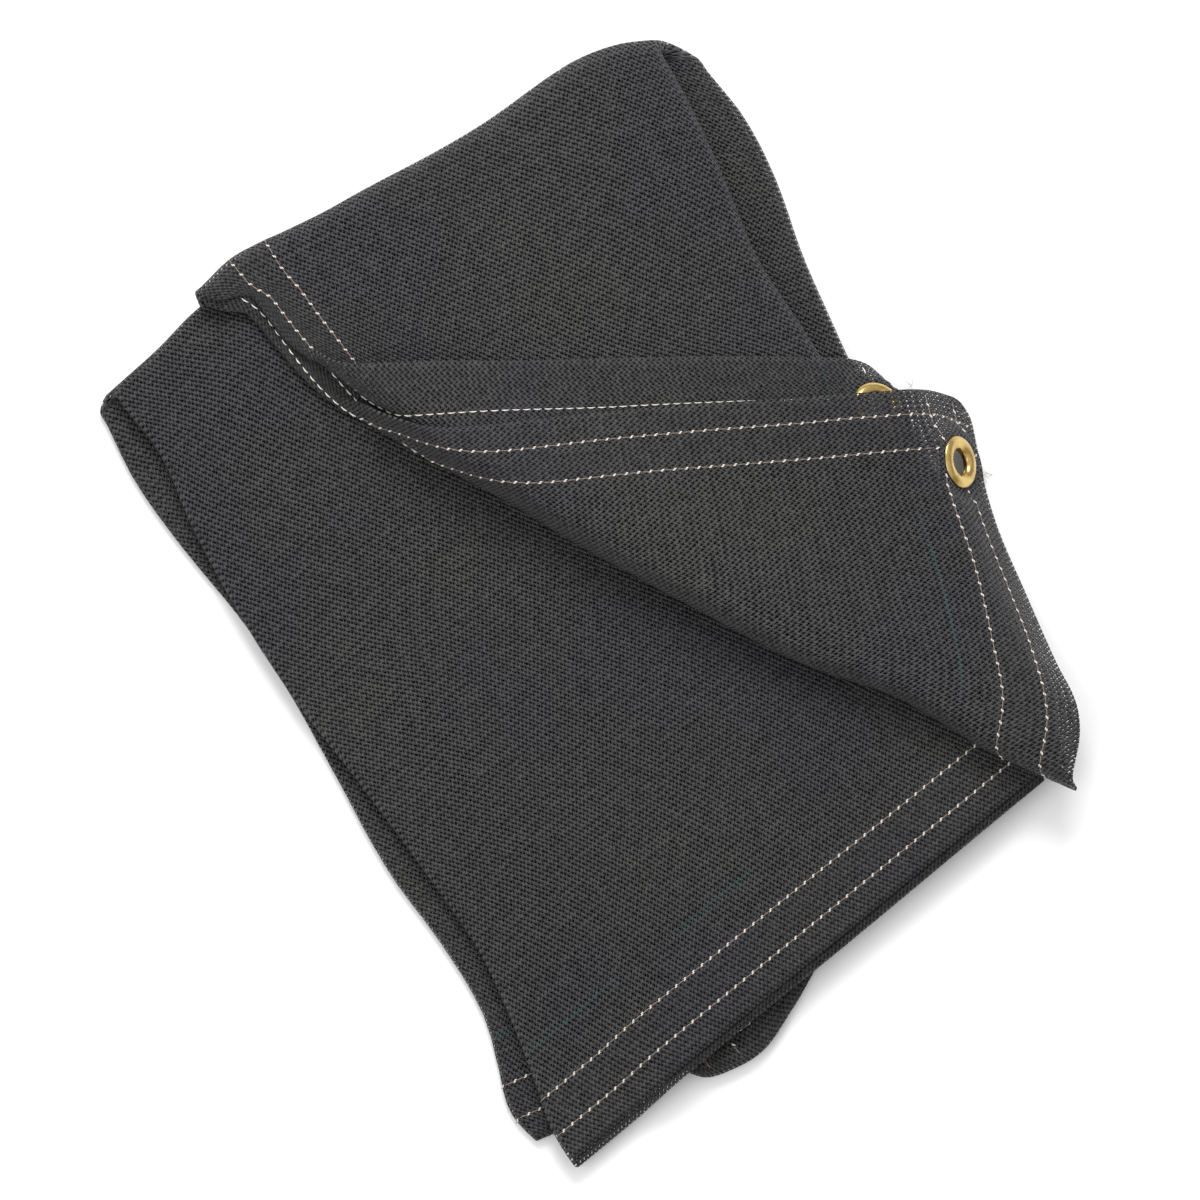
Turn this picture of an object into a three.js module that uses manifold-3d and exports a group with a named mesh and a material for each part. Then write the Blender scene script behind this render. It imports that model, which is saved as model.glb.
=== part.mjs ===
// A mesh tarp folded into a flat packet, with one corner of its two upper layers turned back.
// Millimetres, +Z up. The packet lies on the XY plane. X runs along its folded spine, and Y
// runs from the hem end to the spine.
//
// The tarp is one rectangle of cloth. A point of it is given by across, its distance along the
// width, and along, its distance along the length. It is folded in four across the width, then
// in two along the length, so the packet has eight layers of cloth.

import * as THREE from "three";
import { mergeVertices } from "three/addons/utils/BufferGeometryUtils.js";
import Module from "manifold-3d";

const wasm = await Module();
wasm.setup();

// The tarp laid out flat
const SHEET_WIDTH = 1219;
const SHEET_LENGTH = 914;
const CLOTH_THICKNESS = 1.5;

// The packet
const LAYER_PITCH = 3.2;
const OUTER_FOLD = 265;
const LEFT_FOLD = 609;
const INNER_FOLD = 954;
const SPINE_ALONG = SHEET_LENGTH / 2;
const FREE_EDGE_X = -92;
const LAYERS_EACH_SIDE = 4;
const MID_HEIGHT = CLOTH_THICKNESS / 2 + (LAYERS_EACH_SIDE - 0.5) * LAYER_PITCH;

// Left of the free edges only four layers lie there, so they sink by the two that are missing.
const SINK_DEPTH = 2 * LAYER_PITCH;
const SINK_START_X = FREE_EDGE_X - 3;
const SINK_END_X = FREE_EDGE_X - 36;

// The sides' table is read along this line, from the spine down to the hem end.
const SPINE_Y = 228;
const FOLDED_LENGTH = 450;

// The hem end of the packet runs slightly uphill from left to right.
const HEM_LEFT = { x: -162, y: -239 };
const HEM_SLOPE = 0.1515;
const INNER_LAYER_LONGER = 4;

// The turned-back corner: crease lengths on the cloth's two edges, and the roll at the crease
const CREASE_FADE = 32;
const ROLL_SHIFT_FADE = 120;
const ROLL_DESCENT = 62;
const INNER_ROLL_START = 8;
const INNER_ROLL_END = 3;
const DRAPE_BEND_LENGTH = 22;

// Near the outer fold and near the spine the corner isn't turned, and passes into the packet.
const FOLD_CLEAR = 12;
const SPINE_CLEAR = 20;

// Slow waves of the whole pile: their heights at its top, and the distances that they turn in
const CROSSED_WAVE = { height: 0.7, x: 43, y: 57, start: 0.7 };
const SLANTED_WAVE = { height: 0.5, length: 71 };

// Grommets: rolled brass rings through the hem at the four corners
const GROMMET_OUTER = 27;
const GROMMET_HOLE = 12.7;
const GROMMET_BARREL_WALL = 0.9;
const GROMMET_FLANGE = 0.8;
const FIT_GAP = 0.3;
const FLAT_RADIUS = 15.5;
const FLAT_FADE_RADIUS = 27;
const SEAT_REACH = 9;

// The packet's centre, so that the finished part stands centred on its origin
const CENTRE_X = 19.383;
const CENTRE_Y = 0.831;

// Mesh fineness, and the step that a slope of the cloth is measured over
const NORMAL_STEP = 0.4;
const CREASE_STEPS = 19;
const END_CLOSENESS = 0.42;
const FOLD_STEPS = 6;
const SPINE_STEPS = 8;
const PANEL_STEPS = 2;
const HALF_STEPS = 7;
const GROMMET_SIDES = 20;

// Plan of the folded sides: x of each side at a distance y up the packet
const SIDES = [
  { y: -239, leftUpper: -162, leftLower: -167, rightUpper: 141, rightLower: 143 },
  { y: -205, leftUpper: -163, leftLower: -175, rightUpper: 142, rightLower: 144 },
  { y: -180, leftUpper: -158, leftLower: -169, rightUpper: 144, rightLower: 146 },
  { y: -150, leftUpper: -152, leftLower: -161, rightUpper: 147, rightLower: 149 },
  { y: -110, leftUpper: -147, leftLower: -160, rightUpper: 151, rightLower: 153 },
  { y: -60, leftUpper: -149, leftLower: -163, rightUpper: 154, rightLower: 160 },
  { y: 0, leftUpper: -153, leftLower: -160, rightUpper: 157, rightLower: 168 },
  { y: 50, leftUpper: -158, leftLower: -158, rightUpper: 158, rightLower: 174 },
  { y: 94, leftUpper: -159, leftLower: -159, rightUpper: 158, rightLower: 180 },
  { y: 148, leftUpper: -156, leftLower: -165, rightUpper: 166, rightLower: 190 },
  { y: 190, leftUpper: -150, leftLower: -167, rightUpper: 171, rightLower: 193 },
  { y: 222, leftUpper: -153, leftLower: -164, rightUpper: 173, rightLower: 190 },
];

// Plan of the spine: y of the centre that every layer turns about
const SPINE = [
  { x: -165, y: 212 },
  { x: -125, y: 220 },
  { x: -92, y: 227 },
  { x: -55, y: 231 },
  { x: 0, y: 230 },
  { x: 70, y: 228 },
  { x: 130, y: 232.5 },
  { x: 155, y: 229 },
  { x: 175, y: 220 },
  { x: 195, y: 208 },
];

// Plan of the hem edges that reach less or more than the top one, as a distance past it
const LOWER_INNER_HEM = [
  { x: -172, past: -21 },
  { x: -140, past: -12 },
  { x: -90, past: 1 },
  { x: 140, past: 3 },
];
const LOWER_OUTER_HEM = [
  { x: -92, past: 5 },
  { x: -75, past: 13 },
  { x: -52, past: 17 },
  { x: -28, past: 10 },
  { x: 10, past: -3 },
  { x: 165, past: -4 },
];

// The two turned-back layers, from the inner one, which lay on top, to the outer one under it.
// limb is the plan of the crease, free the plan of its free edge and hem that of its hem edge,
// both as if laid flat. drape is where it bends down over the packet's side, and how steeply.
// lift is where it rides over the grommet of the inner one.
const FLAPS = [
  {
    layer: 3,
    alongEdge: 356,
    acrossEdge: 222,
    rest: 26.6,
    rollExtra: 0,
    corner: [196, 18],
    limb: [[-56, 172], [-45, 137], [-26, 91], [6, 27], [34, -24], [69, -84], [101, -126], [150, -199]],
    free: [[-56, 172], [-46, 165], [0, 139], [60, 103], [130, 60], [168, 36], [196, 18]],
    hem: [[150, -199], [160, -165], [170, -110], [182, -50], [196, 18]],
    drape: [
      { y: -200, x: 158, angle: 20 },
      { y: -165, x: 148, angle: 50 },
      { y: -110, x: 146, angle: 58 },
      { y: -50, x: 152, angle: 60 },
      { y: 14, x: 160, angle: 68 },
    ],
  },
  {
    layer: 2,
    alongEdge: 325,
    acrossEdge: 225,
    rest: 30,
    rollExtra: LAYER_PITCH,
    corner: [220, -10],
    limb: [[-50, 136], [-29, 90], [-15, 64], [3, 25], [31, -26], [66, -86], [99, -128], [122, -173],
      [147, -211]],
    free: [[-50, 136], [-39, 122], [-24, 111], [47, 78], [181, 7.5], [203, 1], [220, -10]],
    hem: [[147, -211], [165, -190], [178, -156], [192, -112], [200, -74], [211, -40], [220, -10]],
    drape: [
      { y: -204, x: 168, angle: 20 },
      { y: -179, x: 158, angle: 42 },
      { y: -150, x: 151, angle: 50 },
      { y: -95, x: 154, angle: 54 },
      { y: -50, x: 164, angle: 56 },
      { y: 0, x: 175, angle: 43 },
    ],
    lift: { x: 167, y: 7, core: 15, fade: 40, height: 2.6 },
  },
];

// The grommets, by their places on the cloth
const GROMMETS = [
  { name: "grommet_front_corner", across: SHEET_WIDTH - 38, along: 20 },
  { name: "grommet_back_corner", across: 26, along: 33 },
  { name: "grommet_lower_corner", across: SHEET_WIDTH - 28, along: SHEET_LENGTH - 25 },
  { name: "grommet_bottom_corner", across: 30, along: SHEET_LENGTH - 25 },
];

// The hump that the two stacked lower grommets press up through the pile, at each height in it
const HUMP = { x: -64, y: -217, core: 21, fade: 62 };
const HUMP_LIFT = [
  { height: 0.75, lift: 1.15 },
  { height: 3.95, lift: 2.05 },
  { height: 7.15, lift: 1.85 },
  { height: 10.35, lift: 1.3 },
  { height: 13.55, lift: 0.9 },
  { height: 16.75, lift: 0.6 },
  { height: 24, lift: 0.3 },
];

// Helpers

function smooth(value) {
  const t = THREE.MathUtils.clamp(value, 0, 1);
  return t * t * (3 - 2 * t);
}

// The value of a table's column at a place along another column, as a smooth curve
function column(table, key, name, place) {
  const last = table.length - 1;
  let i = 0;
  while (i < last - 1 && place > table[i + 1][key]) {
    i += 1;
  }
  const slope = (k) => {
    const a = table[Math.max(k - 1, 0)];
    const b = table[Math.min(k + 1, last)];
    return (b[name] - a[name]) / (b[key] - a[key]);
  };
  const width = table[i + 1][key] - table[i][key];
  const t = THREE.MathUtils.clamp((place - table[i][key]) / width, 0, 1);
  const start = table[i][name];
  const end = table[i + 1][name];
  const a = slope(i) * width;
  const b = slope(i + 1) * width;
  return start + t * (a + t * (3 * (end - start) - 2 * a - b + t * (2 * (start - end) + a + b)));
}

// A plan curve through given points, read by its share of the length
function planCurve(points) {
  const curve = new THREE.CatmullRomCurve3(
    points.map(([x, y]) => new THREE.Vector3(x, y, 0)), false, "centripetal");
  curve.arcLengthDivisions = 200;
  return (share) => curve.getPointAt(THREE.MathUtils.clamp(share, 0, 1));
}

// How far a plan curve stands off the straight line between its ends
function offLine(read) {
  const start = read(0);
  const end = read(1);
  return (share) => read(share).sub(start.clone().lerp(end, THREE.MathUtils.clamp(share, 0, 1)));
}

// The folds across the width: which layer a point is on, and where between the two sides.
// layer is 3 for the top panel, 2, 1 and 0 under it, and share runs from the left to the right.
function widthFold(across) {
  const outerRadius = 1.5 * LAYER_PITCH;
  const innerRadius = 0.5 * LAYER_PITCH;
  const outerHalf = outerRadius * Math.PI / 2;
  const innerHalf = innerRadius * Math.PI / 2;
  if (across <= OUTER_FOLD - outerHalf) {
    return { share: across / (OUTER_FOLD - outerHalf), layer: 3, bulge: 0, free: true };
  }
  if (across < OUTER_FOLD + outerHalf) {
    const angle = (across - OUTER_FOLD + outerHalf) / outerRadius;
    return { share: 1, layer: 1.5 + 1.5 * Math.cos(angle), bulge: outerRadius * Math.sin(angle) };
  }
  if (across <= LEFT_FOLD - innerHalf) {
    const run = LEFT_FOLD - innerHalf - OUTER_FOLD - outerHalf;
    return { share: (LEFT_FOLD - innerHalf - across) / run, layer: 0, bulge: 0 };
  }
  if (across < LEFT_FOLD + innerHalf) {
    const angle = (across - LEFT_FOLD + innerHalf) / innerRadius;
    return { share: 0, layer: 0.5 - 0.5 * Math.cos(angle), bulge: -innerRadius * Math.sin(angle) };
  }
  if (across <= INNER_FOLD - innerHalf) {
    const run = INNER_FOLD - innerHalf - LEFT_FOLD - innerHalf;
    return { share: (across - LEFT_FOLD - innerHalf) / run, layer: 1, bulge: 0 };
  }
  if (across < INNER_FOLD + innerHalf) {
    const angle = (across - INNER_FOLD + innerHalf) / innerRadius;
    return { share: 1, layer: 1.5 - 0.5 * Math.cos(angle), bulge: innerRadius * Math.sin(angle) };
  }
  const run = SHEET_WIDTH - INNER_FOLD - innerHalf;
  return { share: (SHEET_WIDTH - across) / run, layer: 2, bulge: 0, free: true };
}

// How far the packet sinks at its left, where layers are missing
function sink(x) {
  return SINK_DEPTH * smooth((SINK_START_X - x) / (SINK_START_X - SINK_END_X));
}

// Slow unevenness of the whole pile, none at the surface that it lies on
function unevenness(x, y, z) {
  const crossed = Math.sin(x / CROSSED_WAVE.x + CROSSED_WAVE.start) * Math.cos(y / CROSSED_WAVE.y);
  const slanted = Math.sin((x + 2 * y) / SLANTED_WAVE.length);
  const wave = CROSSED_WAVE.height * crossed + SLANTED_WAVE.height * slanted;
  return wave * z / (2 * MID_HEIGHT);
}

// 1 over the core of a raised place, and 0 where it has faded out
function nearness(place, x, y) {
  const distance = Math.hypot(x - place.x, y - place.y);
  return 1 - smooth((distance - place.core) / (place.fade - place.core));
}

// The lift over the stacked grommets
function hump(x, y, z) {
  const share = nearness(HUMP, x, y);
  return share > 0 ? share * column(HUMP_LIFT, "height", "lift", z) : 0;
}

// The y of a layer's hem edge
function hemEdge(x, layer, lower) {
  const top = HEM_LEFT.y + HEM_SLOPE * (x - HEM_LEFT.x);
  if (!lower) {
    return top - INNER_LAYER_LONGER * (1 - Math.min(layer, 1));
  }
  const inner = column(LOWER_INNER_HEM, "x", "past", x);
  const outer = column(LOWER_OUTER_HEM, "x", "past", x);
  return top - THREE.MathUtils.lerp(inner, outer, smooth(layer - 1));
}

// A point of the packet before its corner is turned back
function packetPoint(across, along) {
  const fold = widthFold(across);
  const fromSpine = along - SPINE_ALONG;
  const radius = (fold.layer + 0.5) * LAYER_PITCH;
  const quarter = radius * Math.PI / 2;
  const straight = Math.max(Math.abs(fromSpine) - quarter, 0);
  const share = straight / (SPINE_ALONG - quarter);
  const angle = THREE.MathUtils.clamp(fromSpine / radius, -Math.PI / 2, Math.PI / 2);
  const lower = (1 + Math.sin(angle)) / 2;

  const up = SPINE_Y - share * FOLDED_LENGTH;
  const side = (name) => column(SIDES, "y", name, up);
  const inset = CLOTH_THICKNESS / 2;
  const left = THREE.MathUtils.lerp(side("leftUpper"), side("leftLower"), lower)
    + inset + 0.5 * LAYER_PITCH;
  const right = THREE.MathUtils.lerp(side("rightUpper"), side("rightLower"), lower)
    - inset - 1.5 * LAYER_PITCH;
  const start = fold.free ? FREE_EDGE_X : left;
  const x = THREE.MathUtils.lerp(start, right, fold.share) + fold.bulge;

  const spine = column(SPINE, "x", "y", x);
  const y = spine + radius * Math.cos(angle) * (share > 0 ? 0 : 1)
    - share * (spine - hemEdge(x, fold.layer, fromSpine > 0));
  const z = MID_HEIGHT - radius * Math.sin(angle) - (fold.free ? 0 : sink(x));
  return new THREE.Vector3(x, y, z);
}

// One turned-back layer: its crease on the cloth, and the curves that it follows
function makeFlap(row) {
  const { alongEdge, acrossEdge } = row;
  const length = Math.hypot(alongEdge, acrossEdge);
  const height = alongEdge * acrossEdge / length;
  const limb = planCurve(row.limb);
  const offLimb = offLine(limb);
  const offFree = offLine(planCurve(row.free));
  const offHem = offLine(planCurve(row.hem));
  const corner = new THREE.Vector3(row.corner[0], row.corner[1], 0);
  const toAcross = row.layer === 3 ? (inFrom) => inFrom : (inFrom) => SHEET_WIDTH - inFrom;

  // Shares of a cloth point between the crease's two ends and the cloth's corner
  const shares = (inFrom, along) => {
    const freeEnd = along / alongEdge;
    const hemEnd = inFrom / acrossEdge;
    return { freeEnd, hemEnd, corner: 1 - freeEnd - hemEnd };
  };

  const creaseShare = (inFrom, along) => THREE.MathUtils.clamp(
    (inFrom * acrossEdge + (alongEdge - along) * alongEdge) / (length * length), 0, 1);

  // The plan of a point past the crease, as if the layer lay flat
  const flapPlan = (inFrom, along) => {
    const s = shares(inFrom, along);
    const crease = s.freeEnd + s.hemEnd;
    const free = s.freeEnd + s.corner;
    const hem = s.hemEnd + s.corner;
    const plan = limb(0).multiplyScalar(s.freeEnd);
    plan.addScaledVector(limb(1), s.hemEnd);
    plan.addScaledVector(corner, s.corner);
    plan.addScaledVector(offLimb(s.hemEnd / Math.max(crease, 1e-6)), crease * crease);
    plan.addScaledVector(offFree(s.corner / Math.max(free, 1e-6)), free * free);
    plan.addScaledVector(offHem(s.corner / Math.max(hem, 1e-6)), hem * hem);
    return plan;
  };

  // The plan of a point before the crease, pulled so that the crease meets its curve
  const packetPlan = (inFrom, along, distance) => {
    const t = creaseShare(inFrom, along);
    const onCrease = packetPoint(toAcross(t * acrossEdge), (1 - t) * alongEdge);
    const pull = limb(t).sub(onCrease);
    const point = packetPoint(toAcross(inFrom), along);
    point.addScaledVector(pull.setZ(0), Math.exp(-distance / CREASE_FADE));
    return point;
  };

  // Over the packet's side the layer bends down and then hangs at a slope.
  const drape = (point) => {
    const bendX = column(row.drape, "y", "x", point.y);
    const past = Math.max(point.x - bendX, 0);
    const slope = THREE.MathUtils.degToRad(column(row.drape, "y", "angle", point.y));
    const bent = Math.min(past, DRAPE_BEND_LENGTH);
    const turn = slope * bent / DRAPE_BEND_LENGTH;
    const radius = DRAPE_BEND_LENGTH / slope;
    point.x += radius * Math.sin(turn) + (past - bent) * Math.cos(slope) - past;
    point.z -= radius * (1 - Math.cos(turn)) + (past - bent) * Math.sin(slope);
  };

  return (inFrom, along) => {
    const cornerShare = shares(inFrom, along).corner;
    const distance = Math.abs(cornerShare) * height;
    const t = creaseShare(inFrom, along);
    const roll = THREE.MathUtils.lerp(INNER_ROLL_START, INNER_ROLL_END, t) + row.rollExtra;
    const quarter = roll * Math.PI / 2;
    const turn = Math.min(distance, quarter) / roll;
    const pastRoll = Math.max(distance - quarter, 0);
    const planDistance = roll * (1 - Math.cos(turn))
      + pastRoll * (1 + (quarter - roll) / ROLL_SHIFT_FADE);
    const moved = Math.max(distance - Math.min(planDistance, distance), 0);
    const towardCrease = cornerShare >= 0 ? 1 : -1;
    const nearInFrom = inFrom + towardCrease * moved * alongEdge / length;
    const nearAlong = along + towardCrease * moved * acrossEdge / length;
    if (cornerShare < 0) {
      const point = packetPlan(nearInFrom, nearAlong, Math.max(distance - moved, 0));
      point.z += roll * (1 - Math.sin(turn));
      return point;
    }
    const level = packetPoint(toAcross(inFrom), along).z;
    const point = flapPlan(nearInFrom, nearAlong);
    const fromRest = 1 - smooth(pastRoll / ROLL_DESCENT);
    point.z = level + roll * (1 + Math.sin(turn));
    point.z = THREE.MathUtils.lerp(row.rest, point.z, fromRest);
    drape(point);
    if (row.lift) {
      point.z += row.lift.height * nearness(row.lift, point.x, point.y);
    }
    return point;
  };
}

const flapOf = new Map(FLAPS.map((row) => [row.layer, makeFlap(row)]));

// A point of the folded cloth's middle surface
function foldedPoint(across, along) {
  const fold = widthFold(across);
  let point;
  if (fold.free && along < SPINE_ALONG - SPINE_CLEAR) {
    const inFrom = fold.layer === 3 ? across : SHEET_WIDTH - across;
    point = flapOf.get(fold.layer)(inFrom, along);
    const unturned = packetPoint(across, along);
    const turned = smooth((OUTER_FOLD - inFrom) / FOLD_CLEAR)
      * smooth((SPINE_ALONG - SPINE_CLEAR - along) / SPINE_CLEAR);
    point = unturned.lerp(point, turned);
  } else {
    point = packetPoint(across, along);
  }
  point.z += unevenness(point.x, point.y, point.z - CLOTH_THICKNESS / 2)
    + hump(point.x, point.y, point.z);
  point.x -= CENTRE_X;
  point.y -= CENTRE_Y;
  return point;
}

// The plane that holds a grommet, from the cloth's own slope about it
function grommetSeat(row) {
  const at = (a, b) => foldedPoint(row.across + a, row.along + b);
  const centre = at(0, 0);
  const acrossAxis = at(SEAT_REACH, 0).sub(at(-SEAT_REACH, 0)).normalize();
  const alongAxis = at(0, SEAT_REACH).sub(at(0, -SEAT_REACH));
  alongAxis.addScaledVector(acrossAxis, -alongAxis.dot(acrossAxis)).normalize();
  const normal = acrossAxis.clone().cross(alongAxis);
  return { ...row, centre, acrossAxis, alongAxis, normal };
}

const seats = GROMMETS.map(grommetSeat);

// The folded cloth, held flat where a grommet clamps it
function clothPoint(across, along) {
  const point = foldedPoint(across, along);
  for (const seat of seats) {
    const a = across - seat.across;
    const b = along - seat.along;
    const distance = Math.hypot(a, b);
    if (distance < FLAT_FADE_RADIUS) {
      const flat = seat.centre.clone();
      flat.addScaledVector(seat.acrossAxis, a);
      flat.addScaledVector(seat.alongAxis, b);
      const hold = 1 - smooth((distance - FLAT_RADIUS) / (FLAT_FADE_RADIUS - FLAT_RADIUS));
      point.lerp(flat, hold);
    }
  }
  return point;
}

function clothNormal(across, along) {
  const acrossStep = clothPoint(across + NORMAL_STEP, along)
    .sub(clothPoint(across - NORMAL_STEP, along));
  const alongStep = clothPoint(across, along + NORMAL_STEP)
    .sub(clothPoint(across, along - NORMAL_STEP));
  return acrossStep.cross(alongStep).normalize();
}

// Mesh lines over the cloth

function spread(from, to, steps) {
  return Array.from({ length: steps }, (_, i) => from + (to - from) * i / steps);
}

// Lines closer together at both ends, where the grommets and the crease's ends are. The same
// shares along both edges of a flap put the crease on crossings of the lines.
function creaseSpread(from, to) {
  return Array.from({ length: CREASE_STEPS }, (_, i) => {
    const turn = 2 * Math.PI * i / CREASE_STEPS;
    return from + (to - from) * (turn - END_CLOSENESS * Math.sin(turn)) / (2 * Math.PI);
  });
}

function acrossLines() {
  const outerHalf = 1.5 * LAYER_PITCH * Math.PI / 2;
  const innerHalf = 0.5 * LAYER_PITCH * Math.PI / 2;
  const [inner, outer] = FLAPS;
  return [
    ...creaseSpread(0, inner.acrossEdge),
    ...spread(inner.acrossEdge, OUTER_FOLD - outerHalf, PANEL_STEPS),
    ...spread(OUTER_FOLD - outerHalf, OUTER_FOLD + outerHalf, FOLD_STEPS),
    ...spread(OUTER_FOLD + outerHalf, LEFT_FOLD - innerHalf, 2 * PANEL_STEPS),
    ...spread(LEFT_FOLD - innerHalf, LEFT_FOLD + innerHalf, FOLD_STEPS),
    ...spread(LEFT_FOLD + innerHalf, INNER_FOLD - innerHalf, 2 * PANEL_STEPS),
    ...spread(INNER_FOLD - innerHalf, INNER_FOLD + innerHalf, FOLD_STEPS),
    ...spread(INNER_FOLD + innerHalf, SHEET_WIDTH - outer.acrossEdge, PANEL_STEPS),
    ...creaseSpread(SHEET_WIDTH - outer.acrossEdge, SHEET_WIDTH),
    SHEET_WIDTH,
  ];
}

// The lines along the length follow the crease of the layer that they cross.
function alongLines(across) {
  const [inner, outer] = FLAPS;
  const toInner = smooth((INNER_FOLD - across) / (INNER_FOLD - OUTER_FOLD));
  const creaseAlong = THREE.MathUtils.lerp(outer.alongEdge, inner.alongEdge, toInner);
  const spineHalf = (widthFold(across).layer + 0.5) * LAYER_PITCH * Math.PI / 2;
  return [
    ...creaseSpread(0, creaseAlong),
    ...spread(creaseAlong, SPINE_ALONG - spineHalf, PANEL_STEPS),
    ...spread(SPINE_ALONG - spineHalf, SPINE_ALONG + spineHalf, SPINE_STEPS),
    ...spread(SPINE_ALONG + spineHalf, SHEET_LENGTH, HALF_STEPS),
    SHEET_LENGTH,
  ];
}

// The two faces of the cloth and its four cut edges, as one closed body
function clothGeometry() {
  const columns = acrossLines();
  const rows = alongLines(0).length;
  const corners = [];
  for (const side of [1, -1]) {
    for (const across of columns) {
      for (const along of alongLines(across)) {
        const point = clothPoint(across, along);
        point.addScaledVector(clothNormal(across, along), side * CLOTH_THICKNESS / 2);
        corners.push(point.x, point.y, point.z);
      }
    }
  }
  const faceCount = columns.length * rows;
  const index = [];
  const quad = (a, b, c, d, slanted) => {
    index.push(...(slanted ? [a, b, c, a, c, d] : [a, b, d, b, c, d]));
  };
  for (let i = 0; i < columns.length - 1; i += 1) {
    const slanted = columns[i] > (OUTER_FOLD + INNER_FOLD) / 2;
    for (let j = 0; j < rows - 1; j += 1) {
      const a = i * rows + j;
      quad(a, a + rows, a + rows + 1, a + 1, slanted);
      const b = a + faceCount;
      quad(b, b + 1, b + rows + 1, b + rows, slanted);
    }
  }
  const wall = (a, b) => index.push(a, b, b + faceCount, a, b + faceCount, a + faceCount);
  for (let j = 0; j < rows - 1; j += 1) {
    const end = (columns.length - 1) * rows;
    wall(j, j + 1);
    wall(end + j + 1, end + j);
  }
  for (let i = 0; i < columns.length - 1; i += 1) {
    wall((i + 1) * rows, i * rows);
    wall(i * rows + rows - 1, (i + 1) * rows + rows - 1);
  }
  const geometry = new THREE.BufferGeometry();
  geometry.setAttribute("position", new THREE.Float32BufferAttribute(corners, 3));
  geometry.setIndex(index);
  return geometry;
}

// A closed mesh as a solid that can be cut, and back
function toSolid(geometry) {
  const plain = geometry.clone();
  plain.deleteAttribute("normal");
  plain.deleteAttribute("uv");
  const merged = mergeVertices(plain, 1e-4);
  return new wasm.Manifold(new wasm.Mesh({
    numProp: 3,
    vertProperties: new Float32Array(merged.attributes.position.array),
    triVerts: new Uint32Array(merged.index.array),
  }));
}

function toGeometry(solid) {
  const mesh = solid.getMesh();
  const geometry = new THREE.BufferGeometry();
  geometry.setAttribute("position", new THREE.BufferAttribute(mesh.vertProperties, 3));
  geometry.setIndex(new THREE.BufferAttribute(mesh.triVerts, 1));
  geometry.computeVertexNormals();
  return geometry;
}

// Places a shape made about the Y axis so that its axis is a seat's normal
function placeAtSeat(geometry, seat) {
  const frame = new THREE.Matrix4().makeBasis(seat.alongAxis, seat.normal, seat.acrossAxis);
  frame.setPosition(seat.centre);
  return geometry.applyMatrix4(frame);
}

// The ring: a barrel with a flange on each face of the cloth, clear of it by the fit gap.
// grow makes it larger all over, to cut the room for it in the cloth.
function grommetGeometry(seat, grow = 0) {
  const hole = Math.max(GROMMET_HOLE / 2 - grow, 0);
  const barrel = GROMMET_HOLE / 2 + GROMMET_BARREL_WALL + grow;
  const rim = GROMMET_OUTER / 2 + grow;
  const inside = CLOTH_THICKNESS / 2 + FIT_GAP - grow;
  const outside = CLOTH_THICKNESS / 2 + FIT_GAP + GROMMET_FLANGE + grow;
  const profile = [
    [hole, -outside], [rim, -outside], [rim, -inside], [barrel, -inside],
    [barrel, inside], [rim, inside], [rim, outside], [hole, outside], [hole, -outside],
  ].map(([x, y]) => new THREE.Vector2(x, y));
  return placeAtSeat(new THREE.LatheGeometry(profile, GROMMET_SIDES), seat);
}

// The room that a grommet needs in the cloth: its own form grown by the gap, its hole filled
function holeSolid(seat) {
  const radius = GROMMET_HOLE / 2 + FIT_GAP;
  const core = new THREE.CylinderGeometry(radius, radius, 2 * CLOTH_THICKNESS, GROMMET_SIDES);
  return toSolid(placeAtSeat(core, seat)).add(toSolid(grommetGeometry(seat, FIT_GAP)));
}

function makeCloth() {
  let solid = toSolid(clothGeometry());
  for (const seat of seats) {
    solid = solid.subtract(holeSolid(seat));
  }
  const material = new THREE.MeshStandardMaterial({ color: 0x2f3030, roughness: 0.9 });
  const mesh = new THREE.Mesh(toGeometry(solid), material);
  mesh.name = "tarp_cloth";
  return mesh;
}

function makeGrommet(seat) {
  const material = new THREE.MeshStandardMaterial({
    color: 0xc9a55a, roughness: 0.3, metalness: 1,
  });
  const mesh = new THREE.Mesh(toGeometry(toSolid(grommetGeometry(seat))), material);
  mesh.name = seat.name;
  return mesh;
}

const tarp = new THREE.Group();
tarp.add(makeCloth());
for (const seat of seats) {
  tarp.add(makeGrommet(seat));
}

export default tarp;
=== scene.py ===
# A black mesh tarp, folded into a flat packet with one corner turned back.
# Lengths of the cloth and its folds are in millimetres, and become metres in the meshes.

import math

import bmesh
import bpy
import numpy as np
from mathutils import Matrix, Vector


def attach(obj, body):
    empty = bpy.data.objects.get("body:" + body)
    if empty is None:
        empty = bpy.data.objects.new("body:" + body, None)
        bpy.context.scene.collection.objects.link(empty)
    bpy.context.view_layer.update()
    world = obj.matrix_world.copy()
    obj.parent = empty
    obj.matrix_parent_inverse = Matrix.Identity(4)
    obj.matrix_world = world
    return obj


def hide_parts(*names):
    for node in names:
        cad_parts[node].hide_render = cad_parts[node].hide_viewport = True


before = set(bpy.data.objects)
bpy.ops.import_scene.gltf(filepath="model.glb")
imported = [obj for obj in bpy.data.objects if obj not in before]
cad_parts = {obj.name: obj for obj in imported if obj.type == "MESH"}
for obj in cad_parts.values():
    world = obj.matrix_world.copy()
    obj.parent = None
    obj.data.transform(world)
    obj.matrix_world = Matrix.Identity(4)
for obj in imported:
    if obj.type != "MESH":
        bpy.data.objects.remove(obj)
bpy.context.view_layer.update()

MM = 0.001

# The tarp laid out flat. The thickness is that of a hem, and single cloth has a share of it.
SHEET_WIDTH = 1219.0
SHEET_LENGTH = 914.0
CLOTH_THICKNESS = 1.5
SINGLE_CLOTH_SHARE = 0.6
CORNER_RADIUS = 13.0

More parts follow.
